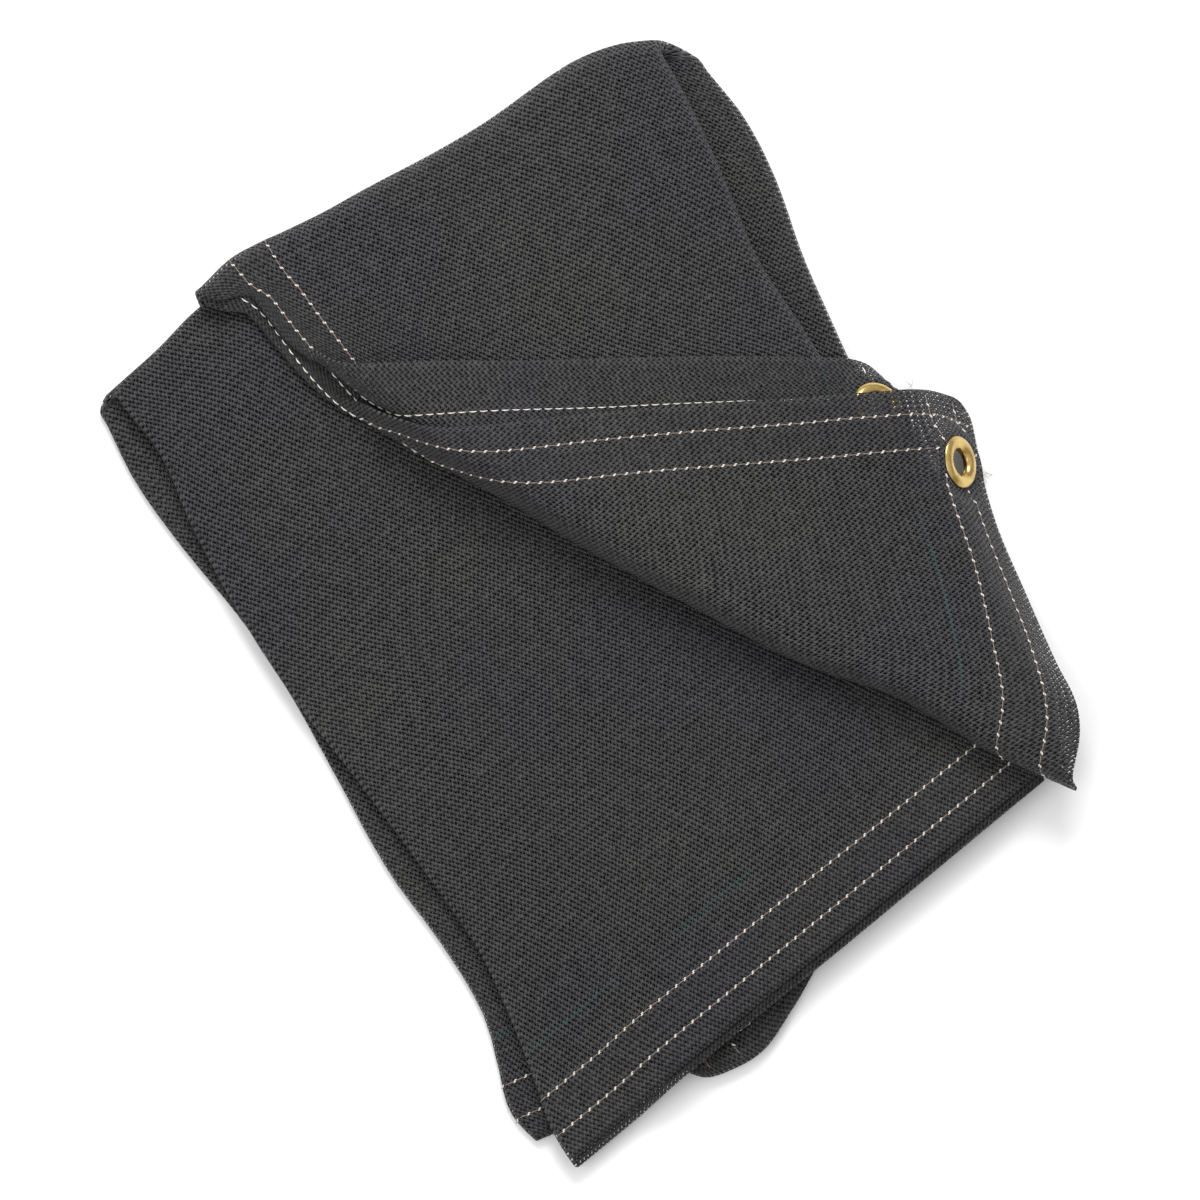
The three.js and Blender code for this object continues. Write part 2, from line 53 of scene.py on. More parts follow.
# The packet: where its folds lie on the flat cloth, and how round they are
LAYER_PITCH = 3.2
OUTER_FOLD = 265.0
LEFT_FOLD = 609.0
INNER_FOLD = 954.0
OUTER_RADIUS = 1.5 * LAYER_PITCH
INNER_RADIUS = 0.5 * LAYER_PITCH
OUTER_HALF = OUTER_RADIUS * math.pi / 2
INNER_HALF = INNER_RADIUS * math.pi / 2
SPINE_ALONG = SHEET_LENGTH / 2
FREE_EDGE_X = -92.0
LAYERS_EACH_SIDE = 4
MID_HEIGHT = CLOTH_THICKNESS / 2 + (LAYERS_EACH_SIDE - 0.5) * LAYER_PITCH

# Left of the free edges four of the eight layers go on, and sink by the two missing below them.
SINK_DEPTH = 2 * LAYER_PITCH
SINK_START_X = FREE_EDGE_X - 3
SINK_END_X = FREE_EDGE_X - 36

# The sides' table is read along this line, from the spine down to the hem end.
SPINE_Y = 228.0
FOLDED_LENGTH = 450.0

# The hem end of the packet runs slightly uphill from left to right.
HEM_LEFT = (-162.0, -239.0)
HEM_SLOPE = 0.1515
INNER_LAYER_LONGER = 4.0

# The turned-back corner
CREASE_FADE = 32.0
ROLL_SHIFT_FADE = 120.0
ROLL_DESCENT = 62.0
INNER_ROLL_START = 8.0
INNER_ROLL_END = 3.0
DRAPE_BEND_LENGTH = 22.0

# Near the outer fold and near the spine the corner isn't turned, and passes into the packet.
FOLD_CLEAR = 12.0
SPINE_CLEAR = 20.0

# The pile's unevenness: the height of each wave, and lengths over which it turns one radian
BROAD_WAVE = {"height": 0.7, "phase": 0.7, "across": 43.0, "along": 57.0}
SKEW_WAVE = {"height": 0.5, "length": 71.0}

# Beside the free edges the spine opens into a round roll, which rises with the layer's height.
END_ROLL_REACH = 80.0
END_ROLL_HALF = 38.0
END_ROLL_ROUND = 30.0
END_ROLL_BACK = 5.0
END_ROLL_RISE = 5.5
END_ROLL_LOW = 4.0
END_ROLL_HEIGHT = 16.0

# Between the spine and the crease the free edges curl back toward the packet.
EDGE_CURL_REACH = 34.0
EDGE_CURL_START = 8.0
EDGE_CURL_FULL = 32.0
EDGE_CURL_END_INNER = 92.0
EDGE_CURL_END_OUTER = 132.0
EDGE_CURL_RIGHT = 10.0
EDGE_CURL_BACK = 6.0

# Grommets: the cloth is cut inside one radius, and held flat as far as another.
GROMMET_OUTER = 27.0
CUT_RADIUS = 8.0
FLAT_RADIUS = 15.5
FLAT_FADE_RADIUS = 24.0
RING_STEPS = 64

# The packet's centre, which stands on the origin
CENTRE = (19.383, 0.831)


class Table:
    """Rows with named columns, read as a smooth curve along the first column."""

    def __init__(self, names, *rows):
        self.names = names.split()
        self.columns = dict(zip(self.names, np.array(rows, float).T))

    def at(self, name, place):
        x = self.columns[self.names[0]]
        y = self.columns[name]
        place = np.asarray(place, float)
        i = np.clip(np.searchsorted(x, place) - 1, 0, len(x) - 2)
        before = np.maximum(np.arange(len(x)) - 1, 0)
        after = np.minimum(np.arange(len(x)) + 1, len(x) - 1)
        slopes = (y[after] - y[before]) / (x[after] - x[before])
        width = x[i + 1] - x[i]
        t = np.clip((place - x[i]) / width, 0, 1)
        start, end = y[i], y[i + 1]
        a, b = slopes[i] * width, slopes[i + 1] * width
        return start + t * (a + t * (3 * (end - start) - 2 * a - b + t * (2 * (start - end) + a + b)))


# Plan of the folded sides: x of each side at a distance y up the packet
SIDES = Table(
    "y left_upper left_lower right_upper right_lower",
    (-239, -162, -167, 141, 143),
    (-205, -163, -175, 142, 144),
    (-180, -158, -169, 144, 146),
    (-150, -152, -161, 147, 149),
    (-110, -147, -160, 151, 153),
    (-60, -149, -163, 154, 160),
    (0, -153, -160, 157, 168),
    (50, -158, -158, 158, 174),
    (94, -159, -159, 158, 180),
    (148, -156, -165, 166, 190),
    (190, -150, -167, 171, 193),
    (222, -153, -164, 173, 190),
)

# Plan of the spine: y of the centre that every layer turns about
SPINE = Table(
    "x y",
    (-165, 212),
    (-125, 220),
    (-92, 227),
    (-55, 230),
    (0, 230),
    (70, 228),
    (130, 232.5),
    (155, 229),
    (175, 220),
    (195, 208),
)

# Plan of the hem edges that reach less or more than the top one, as a distance past it
LOWER_INNER_HEM = Table("x past", (-172, -21), (-140, -12), (-90, 1), (140, 3))
LOWER_OUTER_HEM = Table(
    "x past", (-92, 5), (-75, 13), (-52, 17), (-28, 10), (10, -3), (165, -4)
)

# The hump that the two stacked lower grommets press up through the pile
HUMP = {"x": -64.0, "y": -217.0, "core": 21.0, "fade": 62.0}
HUMP_LIFT = Table(
    "height lift",
    (0.75, 1.15),
    (3.95, 2.05),
    (7.15, 1.85),
    (10.35, 1.3),
    (13.55, 0.9),
    (16.75, 0.6),
    (24, 0.3),
)


def smooth(value):
    t = np.clip(value, 0, 1)
    return t * t * (3 - 2 * t)


def blend(a, b, share):
    return a + (b - a) * share


def rows_of(share):
    """A share for each point, ready to scale rows of coordinates."""
    return np.asarray(share)[:, None]


class PlanCurve:
    """A centripetal curve through plan points, read by its share of the length."""

    steps = 24

    def __init__(self, *points):
        given = np.array(points, float)
        first = 2 * given[0] - given[1]
        last = 2 * given[-1] - given[-2]
        p = np.vstack([first, given, last])
        t = np.linspace(0, 1, self.steps + 1)[:-1, None]
        pieces = []
        for p0, p1, p2, p3 in zip(p, p[1:], p[2:], p[3:]):
            d0, d1, d2 = (np.linalg.norm(b - a) ** 0.5 for a, b in ((p0, p1), (p1, p2), (p2, p3)))
            m1 = ((p1 - p0) / d0 - (p2 - p0) / (d0 + d1) + (p2 - p1) / d1) * d1
            m2 = ((p2 - p1) / d1 - (p3 - p1) / (d1 + d2) + (p3 - p2) / d2) * d1
            pieces.append(
                p1 + t * (m1 + t * (3 * (p2 - p1) - 2 * m1 - m2 + t * (2 * (p1 - p2) + m1 + m2)))
            )
        self.points = np.vstack([*pieces, given[-1:]])
        lengths = np.linalg.norm(np.diff(self.points, axis=0), axis=1)
        self.shares = np.concatenate([[0], np.cumsum(lengths)]) / lengths.sum()

    def at(self, share):
        share = np.clip(share, 0, 1)
        return np.stack([np.interp(share, self.shares, self.points[:, k]) for k in (0, 1)], 1)

    def off_line(self, share):
        """How far the curve stands off the straight line between its ends."""
        share = np.clip(share, 0, 1)
        return self.at(share) - blend(self.points[0], self.points[-1], rows_of(share))


def width_fold(across):
    """The folds across the width: layer, share from left to right, bulge, and free panels."""
    turn_outer = np.clip((across - OUTER_FOLD + OUTER_HALF) / OUTER_RADIUS, 0, math.pi)
    turn_left = np.clip((across - LEFT_FOLD + INNER_HALF) / INNER_RADIUS, 0, math.pi)
    turn_inner = np.clip((across - INNER_FOLD + INNER_HALF) / INNER_RADIUS, 0, math.pi)
    layer = 1.5 + 1.5 * np.cos(turn_outer) + 0.5 - 0.5 * np.cos(turn_left)
    layer = layer + 0.5 - 0.5 * np.cos(turn_inner)
    bulge = OUTER_RADIUS * np.sin(turn_outer) - INNER_RADIUS * np.sin(turn_left)
    bulge = bulge + INNER_RADIUS * np.sin(turn_inner)
    places = np.array([
        0, OUTER_FOLD - OUTER_HALF, OUTER_FOLD + OUTER_HALF, LEFT_FOLD - INNER_HALF,
        LEFT_FOLD + INNER_HALF, INNER_FOLD - INNER_HALF, INNER_FOLD + INNER_HALF, SHEET_WIDTH,
    ])
    share = np.interp(across, places, [0, 1, 1, 0, 0, 1, 1, 0])
    free = (across <= places[1]) | (across >= places[6])
    return layer, share, bulge, free


def sink(x):
    return SINK_DEPTH * smooth((SINK_START_X - x) / (SINK_START_X - SINK_END_X))


def unevenness(x, y, z):
    wave = BROAD_WAVE["height"] * np.sin(x / BROAD_WAVE["across"] + BROAD_WAVE["phase"])
    wave = wave * np.cos(y / BROAD_WAVE["along"])
    wave = wave + SKEW_WAVE["height"] * np.sin((x + 2 * y) / SKEW_WAVE["length"])
    return wave * z / (2 * MID_HEIGHT)


def nearness(place, x, y):
    """1 over the core of a raised place, and 0 where it has faded out."""
    distance = np.hypot(x - place["x"], y - place["y"])
    return 1 - smooth((distance - place["core"]) / (place["fade"] - place["core"]))


def hump(x, y, z):
    return nearness(HUMP, x, y) * HUMP_LIFT.at("lift", z)


def hem_edge(x, layer, lower):
    top = HEM_LEFT[1] + HEM_SLOPE * (x - HEM_LEFT[0])
    upper_edge = top - INNER_LAYER_LONGER * (1 - np.minimum(layer, 1))
    inner = LOWER_INNER_HEM.at("past", x)
    outer = LOWER_OUTER_HEM.at("past", x)
    return np.where(lower, top - blend(inner, outer, smooth(layer - 1)), upper_edge)


def packet_point(across, along):
    """Points of the packet before its corner is turned back."""
    layer, share_across, bulge, free = width_fold(across)
    from_spine = along - SPINE_ALONG
    radius = (layer + 0.5) * LAYER_PITCH
    quarter = radius * math.pi / 2
    straight = np.maximum(np.abs(from_spine) - quarter, 0)
    share = straight / (SPINE_ALONG - quarter)
    angle = np.clip(from_spine / radius, -math.pi / 2, math.pi / 2)
    lower = (1 + np.sin(angle)) / 2

    up = SPINE_Y - share * FOLDED_LENGTH
    inset = CLOTH_THICKNESS / 2
    left = blend(SIDES.at("left_upper", up), SIDES.at("left_lower", up), lower)
    right = blend(SIDES.at("right_upper", up), SIDES.at("right_lower", up), lower)
    start = np.where(free, FREE_EDGE_X, left + inset + INNER_RADIUS)
    x = blend(start, right - inset - OUTER_RADIUS, share_across) + bulge

    spine = SPINE.at("y", x)
    y = spine + radius * np.cos(angle) * (share <= 0)
    y = y - share * (spine - hem_edge(x, layer, from_spine > 0))
    z = MID_HEIGHT - radius * np.sin(angle) - np.where(free, 0, sink(x))
    return np.stack([x, y, z], 1)


class Flap:
    """One turned-back layer: its crease on the cloth, and the plan curves that it follows."""

    def __init__(self, top, along_edge, across_edge, rest, roll_extra, limb, free, hem, drape,
                 lift=None):
        self.top = top
        self.along_edge = along_edge
        self.across_edge = across_edge
        self.rest = rest
        self.roll_extra = roll_extra
        self.limb = PlanCurve(*limb)
        self.free = PlanCurve(*free)
        self.hem = PlanCurve(*hem)
        self.drape = Table("y x angle", *drape)
        self.lift = lift
        self.length = math.hypot(along_edge, across_edge)
        self.height = along_edge * across_edge / self.length

    def across(self, in_from):
        return in_from if self.top else SHEET_WIDTH - in_from

    def corner_share(self, in_from, along):
        return 1 - along / self.along_edge - in_from / self.across_edge

    def crease_share(self, in_from, along):
        run = in_from * self.across_edge + (self.along_edge - along) * self.along_edge
        return np.clip(run / self.length**2, 0, 1)

    def flap_plan(self, in_from, along):
        """Plan past the crease, as if the layer lay flat."""
        free_end = along / self.along_edge
        hem_end = in_from / self.across_edge
        corner = 1 - free_end - hem_end
        crease, free, hem = free_end + hem_end, free_end + corner, hem_end + corner
        plan = rows_of(free_end) * self.limb.points[0] + rows_of(hem_end) * self.limb.points[-1]
        plan = plan + rows_of(corner) * self.free.points[-1]
        tiny = 1e-6
        for curve, share, whole in (
            (self.limb, hem_end, crease),
            (self.free, corner, free),
            (self.hem, corner, hem),
        ):
            plan = plan + curve.off_line(share / np.maximum(whole, tiny)) * rows_of(whole**2)
        return plan

    def packet_plan(self, in_from, along, distance):
        """Points before the crease, pulled so that the crease meets its curve."""
        t = self.crease_share(in_from, along)
        on_crease = packet_point(self.across(t * self.across_edge), (1 - t) * self.along_edge)
        point = packet_point(self.across(in_from), along)
        pull = self.limb.at(t) - on_crease[:, :2]
        point[:, :2] += pull * rows_of(np.exp(-distance / CREASE_FADE))
        return point

    def hang(self, point):
        """Over the packet's side the layer bends down and then hangs at a slope."""
        bend_x = self.drape.at("x", point[:, 1])
        past = np.maximum(point[:, 0] - bend_x, 0)
        slope = np.radians(self.drape.at("angle", point[:, 1]))
        bent = np.minimum(past, DRAPE_BEND_LENGTH)
        turn = slope * bent / DRAPE_BEND_LENGTH
        radius = DRAPE_BEND_LENGTH / slope
        x = bend_x + radius * np.sin(turn) + (past - bent) * np.cos(slope)
        point[:, 2] -= radius * (1 - np.cos(turn)) + (past - bent) * np.sin(slope)
        point[:, 0] = np.where(past > 0, x, point[:, 0])
        if self.lift:
            point[:, 2] += self.lift["height"] * nearness(self.lift, point[:, 0], point[:, 1])
        return point

    def at(self, in_from, along):
        corner_share = self.corner_share(in_from, along)
        distance = np.abs(corner_share) * self.height
        t = self.crease_share(in_from, along)
        roll = blend(INNER_ROLL_START, INNER_ROLL_END, t) + self.roll_extra
        quarter = roll * math.pi / 2
        turn = np.minimum(distance, quarter) / roll
        past_roll = np.maximum(distance - quarter, 0)
        plan_distance = roll * (1 - np.cos(turn))
        plan_distance += past_roll * (1 + (quarter - roll) / ROLL_SHIFT_FADE)
        moved = np.maximum(distance - plan_distance, 0)
        toward = np.where(corner_share >= 0, 1, -1)
        near_in_from = in_from + toward * moved * self.along_edge / self.length
        near_along = along + toward * moved * self.across_edge / self.length

        before = self.packet_plan(near_in_from, near_along, np.maximum(distance - moved, 0))
        before[:, 2] += roll * (1 - np.sin(turn))

        level = packet_point(self.across(in_from), along)[:, 2]
        from_rest = 1 - smooth(past_roll / ROLL_DESCENT)
        rolled = level + roll * (1 + np.sin(turn))
        after = np.column_stack([
            self.flap_plan(near_in_from, near_along), blend(self.rest, rolled, from_rest),
        ])
        return np.where(rows_of(corner_share < 0), before, self.hang(after))


# The two turned-back layers: the inner one lay on top, and the outer one under it.
INNER_FLAP = Flap(
    top=True, along_edge=356.0, across_edge=222.0, rest=26.6, roll_extra=0.0,
    limb=((-56, 172), (-45, 137), (-26, 91), (6, 27), (34, -24), (69, -84), (101, -126),
          (150, -199)),
    free=((-56, 172), (-46, 165), (0, 139), (60, 103), (130, 60), (168, 36), (196, 18)),
    hem=((150, -199), (160, -165), (170, -110), (182, -50), (196, 18)),
    drape=((-200, 158, 20), (-165, 148, 50), (-110, 146, 58), (-50, 152, 60), (14, 160, 68)),
)
OUTER_FLAP = Flap(
    top=False, along_edge=325.0, across_edge=225.0, rest=30.0, roll_extra=LAYER_PITCH,
    limb=((-50, 136), (-29, 90), (-15, 64), (3, 25), (31, -26), (66, -86), (99, -128),
          (122, -173), (147, -211)),
    free=((-50, 136), (-39, 122), (-24, 111), (47, 78), (181, 6.5), (203, -2.5), (220, -10)),
    hem=((147, -211), (165, -190), (178, -156), (192, -112), (200, -74), (211, -40),
         (220, -10)),
    drape=((-204, 168, 20), (-179, 158, 42), (-150, 151, 50), (-95, 154, 54), (-50, 164, 56),
           (0, 175, 43)),
    lift={"x": 167.0, "y": 7.0, "core": 15.0, "fade": 40.0, "height": 2.6},
)


def curl_free_edges(point, across, along):
    """Moves the points near the free edges into the round roll and the curl below it."""
    from_edge = np.minimum(across, SHEET_WIDTH - across)
    before_spine = SPINE_ALONG - along
    end_roll = 1 - smooth(from_edge / END_ROLL_REACH)
    end_roll *= 1 - smooth(np.abs(before_spine) / END_ROLL_HALF)
    curl = 1 - smooth(from_edge / EDGE_CURL_REACH)
    curl *= smooth((before_spine - EDGE_CURL_START) / (EDGE_CURL_FULL - EDGE_CURL_START))
    curl_end = np.where(across < LEFT_FOLD, EDGE_CURL_END_INNER, EDGE_CURL_END_OUTER)
    curl *= 1 - smooth((before_spine - EDGE_CURL_FULL) / (curl_end - EDGE_CURL_FULL))
    back = END_ROLL_BACK * end_roll * smooth(from_edge / END_ROLL_ROUND)
    rise = smooth((point[:, 2] - END_ROLL_LOW) / END_ROLL_HEIGHT)
    point[:, 0] += EDGE_CURL_RIGHT * curl
    point[:, 1] += EDGE_CURL_BACK * curl + back
    point[:, 2] += END_ROLL_RISE * end_roll * rise


def folded_point(across, along):
    """Points of the folded cloth's middle surface, in millimetres."""
    across = np.asarray(across, float)
    along = np.asarray(along, float)
    point = packet_point(across, along)
    layer, _, _, free = width_fold(across)
    for flap in (INNER_FLAP, OUTER_FLAP):
        chosen = free & (along < SPINE_ALONG - SPINE_CLEAR) & ((layer > 2.5) == flap.top)
        if not chosen.any():
            continue
        in_from = flap.across(across[chosen])
        share = smooth((OUTER_FOLD - in_from) / FOLD_CLEAR)
        share *= smooth((SPINE_ALONG - SPINE_CLEAR - along[chosen]) / SPINE_CLEAR)
        turned = flap.at(in_from, along[chosen])
        point[chosen] = blend(point[chosen], turned, rows_of(share))
    x, y, z = point.T
    point[:, 2] += unevenness(x, y, z - CLOTH_THICKNESS / 2) + hump(x, y, z)
    curl_free_edges(point, across, along)
    point[:, 0] -= CENTRE[0]
    point[:, 1] -= CENTRE[1]
    return point


def unit(vector):
    return vector / np.linalg.norm(vector)


class Seat:
    """The plane that holds a grommet, from the cloth's slope about it or from a given normal."""

    reach = 9.0

    def __init__(self, name, across, along, normal=None):
        self.name = name
        self.across = across
        self.along = along
        a = across + np.array([0, self.reach, -self.reach, 0, 0])
        b = along + np.array([0, 0, 0, self.reach, -self.reach])
        points = folded_point(a, b)
        self.centre = points[0]
        across_axis, along_axis = points[1] - points[2], points[3] - points[4]
        self.normal = unit(np.cross(across_axis, along_axis))
        if normal is not None:
            self.normal = unit(np.array(normal)) * np.sign(self.normal @ normal)
        self.across_axis = unit(across_axis - self.normal * (across_axis @ self.normal))
        self.along_axis = np.cross(self.normal, self.across_axis)


SEATS = (
    Seat("grommet_front_corner", SHEET_WIDTH - 38, 20, normal=(0.69, -0.42, 0.60)),
    Seat("grommet_back_corner", 26, 33),
    Seat("grommet_lower_corner", SHEET_WIDTH - 28, SHEET_LENGTH - 25),
    Seat("grommet_bottom_corner", 30, SHEET_LENGTH - 25),
)


def round_corners(across, along):
    """Cloth places with the four square corners drawn in to a round."""
    half = np.array([SHEET_WIDTH, SHEET_LENGTH]) / 2
    from_middle = np.column_stack([across, along]) - half
    past = np.maximum(np.abs(from_middle) - half + CORNER_RADIUS, 0) / CORNER_RADIUS
    drawn_in = past * (1 - np.sqrt(1 - past[:, ::-1] ** 2 / 2)) * CORNER_RADIUS
    across, along = (from_middle - np.sign(from_middle) * drawn_in + half).T
    return across, along


def cloth_point(across, along):
    """The folded cloth, held flat where a grommet clamps it."""
    across, along = round_corners(np.asarray(across, float), np.asarray(along, float))
    point = folded_point(across, along)
    for seat in SEATS:
        a = across - seat.across
        b = along - seat.along
        distance = np.hypot(a, b)
        flat = seat.centre + rows_of(a) * seat.across_axis + rows_of(b) * seat.along_axis
        hold = 1 - smooth((distance - FLAT_RADIUS) / (FLAT_FADE_RADIUS - FLAT_RADIUS))
        point = blend(point, flat, rows_of(hold))
    return point


def cloth_normal(across, along):
    step = 0.4
    a = cloth_point(across + step, along) - cloth_point(across - step, along)
    b = cloth_point(across, along + step) - cloth_point(across, along - step)
    normal = np.cross(a, b)
    return normal / np.linalg.norm(normal, axis=1, keepdims=True)


# Hems and their stitches

# Distances of the two stitch rows from the edge, on the wide hem and on the three narrow
# ones. The turned cloth ends a little past the inner row.
HEM_ROWS_WIDE = (22.0, 42.0)
HEM_ROWS_NARROW = (14.0, 33.0)
HEM_TURN_PAST_ROW = 4.0
HEM_WIDE = HEM_ROWS_WIDE[1] + HEM_TURN_PAST_ROW
HEM_NARROW = HEM_ROWS_NARROW[1] + HEM_TURN_PAST_ROW
HEM_STEP_HALF = 1.5

# Stitches: the first lies this share of a pitch from the row's end, and the rows end short
# of the cloth's edge. A lift is a height over the cloth's middle surface.
STITCH_PITCH = 6.25
FIRST_STITCH = 0.25
ROW_END = 4.0
STITCH_CLEAR = GROMMET_OUTER / 2 + 1.5
STITCH_LIFT = 0.85
THREAD_LIFT = 0.8
FRAY_LIFT = 0.4

# Pieces of thread: length, width and height
RUN_SIZE = (5.8, 0.6, 0.4)
TURN_SIZE = (1.9, 0.75, 0.8)
DASH_SIZE = (4.3, 0.66, 0.6)
HAIR_SIZE = (8.0, 0.4, 0.4)

# How the two turns at a hole lie askew, and how the dashes and the loose ends bend
TURN_OFFSET = (0.3, 0.36)
TURN_ANGLE = 0.15
DASH_ASIDE = 0.5
DASH_BOW = 0.09
HAIR_BOW = 0.12
HAIR_OUT = 3.2

# Loose thread ends of the front corner: place on the cloth, and angle from straight outward
FRAYS = (
    (SHEET_WIDTH - 37.0, 0.5, 25.0),
    (SHEET_WIDTH - 38.0, 0.5, -12.0),
    (SHEET_WIDTH - 39.0, 0.5, 50.0),
    (SHEET_WIDTH - 40.5, 0.5, -40.0),
    (SHEET_WIDTH - 0.5, 38.0, 30.0),
    (SHEET_WIDTH - 0.5, 41.0, -35.0),
)


def hem_rows():
    """Each stitch row: its direction, its distance over the cloth, and where it ends."""
    rows = []
    for row in (0, 1):
        wide, narrow = HEM_ROWS_WIDE[row], HEM_ROWS_NARROW[row]
        ends_along = (ROW_END, SHEET_LENGTH - ROW_END)
        ends_across = (ROW_END, SHEET_WIDTH - ROW_END)
        rows.append(("along", wide, ends_along))
        rows.append(("along", SHEET_WIDTH - narrow, ends_along))
        rows.append(("across", narrow, ends_across))
        rows.append(("across", SHEET_LENGTH - narrow, ends_across))
    return rows


def row_points(direction, fixed, ends, shift):
    """Places on the cloth of a row's stitches, each shifted by a share of the pitch."""
    count = int((ends[1] - ends[0]) / STITCH_PITCH)
    run = ends[0] + (np.arange(count) + FIRST_STITCH + shift) * (ends[1] - ends[0]) / count
    still = np.full(count, fixed)
    return (still, run) if direction == "along" else (run, still)


def clear_of_grommets(across, along, margin):
    clear = np.ones(len(across), bool)
    for seat in SEATS:
        clear &= np.hypot(across - seat.across, along - seat.along) > margin
    return clear


# Shader expressions


class Value:
    """A number that changes over a surface. An expression on it adds its Math nodes."""

    def __init__(self, shader, socket):
        self.shader = shader
        self.socket = socket

    def math(self, operation, *others):
        inputs = dict(enumerate((self, *others)))
        return self.shader.node("ShaderNodeMath", {"operation": operation}, inputs)

    def __add__(self, other):
        return self.math("ADD", other)

    def __sub__(self, other):
        return self.math("SUBTRACT", other)

    def __rsub__(self, other):
        return (self * -1.0) + other

    def __mul__(self, other):
        return self.math("MULTIPLY", other)

    def sin(self):
        return self.math("SINE")

    def cos(self):
        return self.math("COSINE")

    def absolute(self):
        return self.math("ABSOLUTE")

    def ramp(self, low, high):
        """0 below low, 1 above high, and smooth between."""
        inputs = {"Value": self, "From Min": low, "From Max": high}
        return self.shader.node(
            "ShaderNodeMapRange", {"interpolation_type": "SMOOTHSTEP"}, inputs
        )


class Shader:
    """A material's node tree, built by one method."""

    def __init__(self, name, **constants):
        self.material = bpy.data.materials.new(name)
        self.material.use_nodes = True
        self.tree = self.material.node_tree
        self.surface = self.tree.nodes["Principled BSDF"]
        for socket, value in constants.items():
            self.surface.inputs[socket.replace("_", " ")].default_value = value

    def node(self, kind, settings=None, inputs=None, output=0):
        made = self.tree.nodes.new(kind)
        for name, value in (settings or {}).items():
            setattr(made, name, value)
        for name, value in (inputs or {}).items():
            self.link(made.inputs[name], value)
        return Value(self, made.outputs[output])

    def link(self, socket, value):
        if isinstance(value, Value):
            self.tree.links.new(value.socket, socket)
        else:
            socket.default_value = value

    def feed(self, name, value):
        self.link(self.surface.inputs[name], value)

    def mix(self, share, a, b):
        """A colour between two colours."""
        made = self.tree.nodes.new("ShaderNodeMix")
        made.data_type = "RGBA"
        colour_inputs = [socket for socket in made.inputs if socket.type == "RGBA"]
        self.link(made.inputs[0], share)
        for socket, value in zip(colour_inputs, (a, b)):
            self.link(socket, value)
        outputs = [socket for socket in made.outputs if socket.type == "RGBA"]
        return Value(self, outputs[0])

    def noise(self, vector, scale, detail=2.0):
        inputs = {"Vector": vector, "Scale": scale, "Detail": detail}
        return self.node("ShaderNodeTexNoise", None, inputs)

    def bump(self, height, distance, strength):
        inputs = {"Height": height, "Distance": distance, "Strength": strength}
        self.feed("Normal", self.node("ShaderNodeBump", None, inputs))


def colour(red, green, blue):
    return (red, green, blue, 1.0)


# Outputs of the nodes that give coordinates
OBJECT_COORDINATES = 3
X_OUTPUT = 0
Y_OUTPUT = 1

# The cloth's UV map is in metres, and the knit is reckoned in millimetres.
UV_TO_MM = 1000.0
LOOP_PITCH = 2.75
COURSE_PITCH = 3.5

# The knit's irregularities: scale of each noise, and how far it moves the loops
NOISE_MIDDLE = 0.5
DRIFT = {"scale": 14.0, "across": 2.4, "along": 1.6}
SLACK = {"scale": 130.0, "across": 1.1, "along": 0.9, "height": 0.5, "light": 0.7}
GRAIN = {"scale": 400.0, "across": 0.8, "height": 0.9, "light": 1.6}

# Shape of the loops: a course arches over every loop, and the loops sway twice a course.
ARCH = {"phase": 0.6, "height": 0.75}
SWAY = {"turns": 2.0, "width": 0.5}
FIBRE = {"slant": 0.5, "turns": 3.0, "height": 0.12}

# Heights where the cloth closes and where painted shade turns to a painted highlight, and a hem's
# changes
OPENING = (-0.50, -0.34)
YARN = (-0.6, 0.95)
HEM_CLOSES = 0.14
HEM_DARKENS = 0.14
TOP_HIGHLIGHT_SHARE = 0.9

# Two kinds of patch, each with painted shade between the loops and a painted highlight on them
PATCH_SCALE = 9.0
PATCH_RANGE = (0.35, 0.68)
SHADED_HOLLOW_COLOURS = (colour(0.016, 0.015, 0.019), colour(0.018, 0.019, 0.018))
LIT_TOP_COLOURS = (colour(0.059, 0.056, 0.060), colour(0.066, 0.067, 0.063))

# The tracer yarn: distance from the end, how it wanders, its edge, and where it fades
TRACER_ALONG = 55.0
TRACER_COLOUR = colour(0.028, 0.075, 0.070)
TRACER_WANDER = {"scale": 5.0, "width": 22.0}
TRACER_EDGE = (0.4, 1.5)
TRACER_FADES = {"scale": 11.0, "from": 0.38, "to": 0.62, "share": 0.5}


